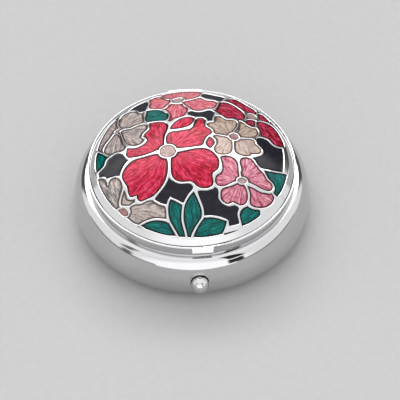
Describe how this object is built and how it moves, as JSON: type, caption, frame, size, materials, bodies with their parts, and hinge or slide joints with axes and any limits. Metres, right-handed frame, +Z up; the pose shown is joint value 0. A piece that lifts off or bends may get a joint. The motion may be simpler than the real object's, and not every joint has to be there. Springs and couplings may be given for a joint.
{
  "type": "pill box",
  "caption": "Round polished metal pill box with a domed, hinged lid set with enamel blossoms, a push-button latch, an inner mirror and a divided tray.",
  "frame": {"origin": "middle of the flat bottom face, where the box rests", "axes": "+Z up towards the crown of the lid, -Y towards the push button, +Y towards the hinge, hinge axis along X"},
  "size_m": [0.05, 0.0523, 0.0193],
  "materials": {
    "polished_metal": "polished plated metal",
    "latch_metal": "plain formed steel",
    "spring_metal": "drawn wire",
    "tray_plastic": "smooth moulded plastic",
    "crimson_enamel": "glossy translucent enamel",
    "garnet_enamel": "glossy translucent enamel",
    "coral_enamel": "glossy translucent enamel",
    "rose_enamel": "glossy translucent enamel",
    "cream_enamel": "glossy translucent enamel",
    "lilac_enamel": "glossy translucent enamel",
    "green_enamel": "glossy translucent enamel",
    "black_enamel": "glossy opaque enamel",
    "centre_enamel": "glossy translucent enamel",
    "mirror_glass": "silvered flat glass",
    "backing_card": "plain card"
  },
  "bodies": {
    "base": {"base_shell": "polished_metal", "base_collar": "polished_metal", "pill_tray": "tray_plastic", "base_hinge_leaf": "polished_metal", "hinge_pin": "latch_metal", "button_ferrule": "polished_metal", "latch_bracket": "latch_metal", "latch_spring": "spring_metal"},
    "button": {"push_button": "polished_metal", "latch_hook": "latch_metal", "button_clip": "latch_metal"},
    "lid": {"lid_shell": "polished_metal", "motif_plate": "polished_metal", "enamel_crimson": "crimson_enamel", "enamel_garnet": "garnet_enamel", "enamel_coral": "coral_enamel", "enamel_rose": "rose_enamel", "enamel_cream": "cream_enamel", "enamel_lilac": "lilac_enamel", "enamel_green": "green_enamel", "enamel_black": "black_enamel", "enamel_centres": "centre_enamel", "lid_catch": "polished_metal", "lid_hinge_leaf": "polished_metal", "mirror": "mirror_glass", "mirror_ring": "polished_metal", "mirror_pad": "backing_card"}
  },
  "joints": [
    {"name": "lid_hinge", "type": "hinge", "parent": "base", "child": "lid", "pos_m": [0, 0.02275, 0.0113], "axis": [-1, 0, 0], "range_deg": [0, 105]},
    {"name": "button_push", "type": "slide", "parent": "base", "child": "button", "axis": [0, 1, 0], "range_m": [0, 0.0008], "stiffness_N_per_m": 100, "springref_m": -0.002, "deforming": ["latch_spring"]}
  ]
}
